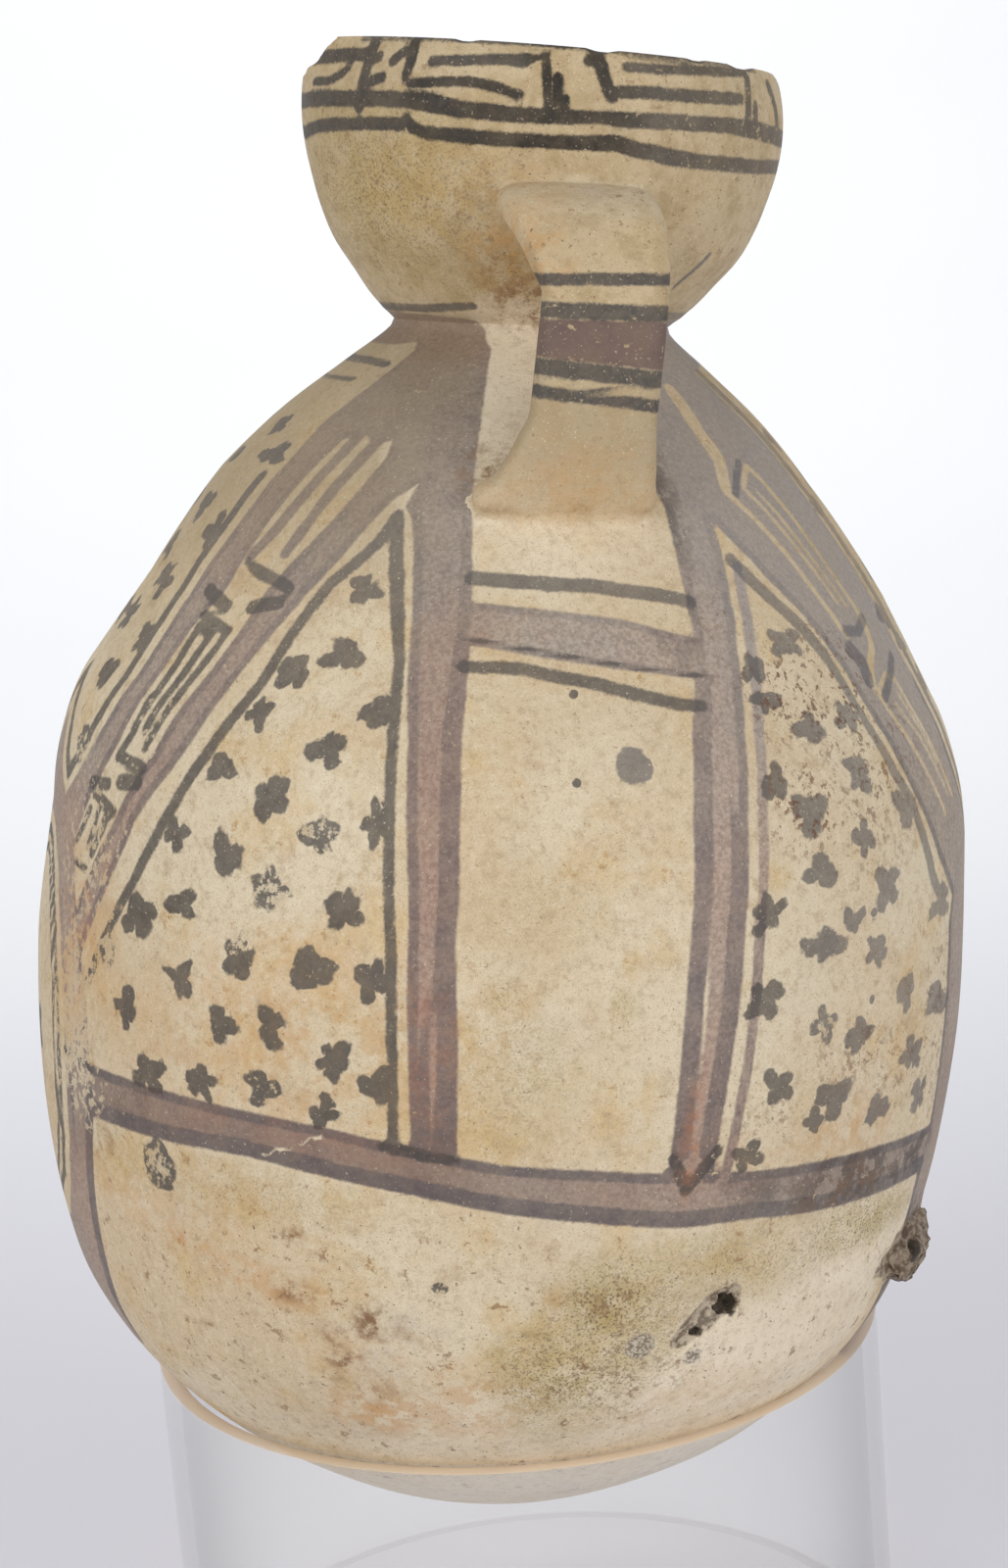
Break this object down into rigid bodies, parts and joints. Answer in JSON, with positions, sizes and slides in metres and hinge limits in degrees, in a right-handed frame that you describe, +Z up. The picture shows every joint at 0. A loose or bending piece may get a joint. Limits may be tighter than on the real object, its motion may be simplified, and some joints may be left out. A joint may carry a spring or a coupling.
{
  "type": "painted amphora on a clear ring stand",
  "caption": "Hollow painted clay amphora with a cup mouth and strap handles, leaning in an open clear ring that carries its round bottom.",
  "frame": {"origin": "middle of the bounding box at the level the ring stands on", "axes": "+Z up, -Y the front with the strap handle and the plain panel, +X the viewer's right"},
  "size_m": [0.2568, 0.2546, 0.4682],
  "materials": {
    "painted_clay": "matt cream slip with dark and red-brown paint, worn and stained",
    "clear_acrylic": "clear polished acrylic"
  },
  "bodies": {
    "root": {"amphora": "painted_clay", "stand_tube": "clear_acrylic"}
  },
  "joints": []
}
